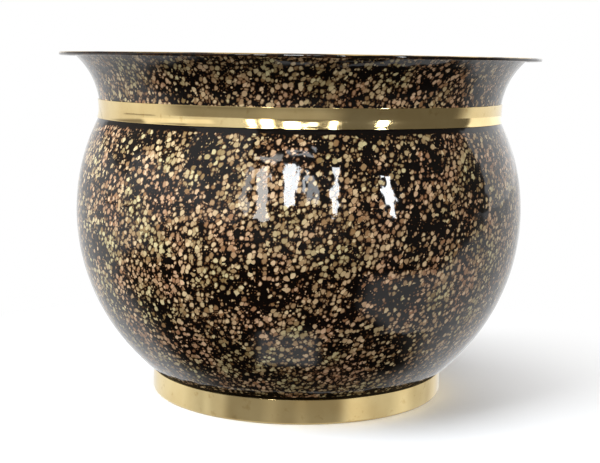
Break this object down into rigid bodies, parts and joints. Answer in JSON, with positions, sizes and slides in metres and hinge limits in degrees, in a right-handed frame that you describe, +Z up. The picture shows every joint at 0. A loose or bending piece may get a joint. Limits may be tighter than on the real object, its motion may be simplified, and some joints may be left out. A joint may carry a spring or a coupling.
{
  "type": "cachepot",
  "caption": "Round-bellied cachepot of spun brass in black gold-speckled lacquer, with a flared brim, polished neck band and foot ring; hides and holds a potted plant.",
  "frame": {"origin": "centre of the plane that the foot ring stands on", "axes": "+Z up along the pot's axis; -Y is the side that the picture shows; the pot is round, so +X and +Y are free apart from the band's scarf"},
  "size_m": [0.21, 0.21, 0.1491],
  "materials": {
    "speckled_lacquer": "glossy black lacquer spattered with gold-tan flecks outside, bare satin brass inside",
    "polished_brass": "mirror-polished yellow brass",
    "braze": "as-run brazing bead, dull"
  },
  "bodies": {
    "root": {"bowl": "speckled_lacquer", "collar": "speckled_lacquer", "neck_band": "polished_brass", "foot_ring": "polished_brass", "neck_solder": "braze", "foot_solder": "braze"}
  },
  "joints": []
}
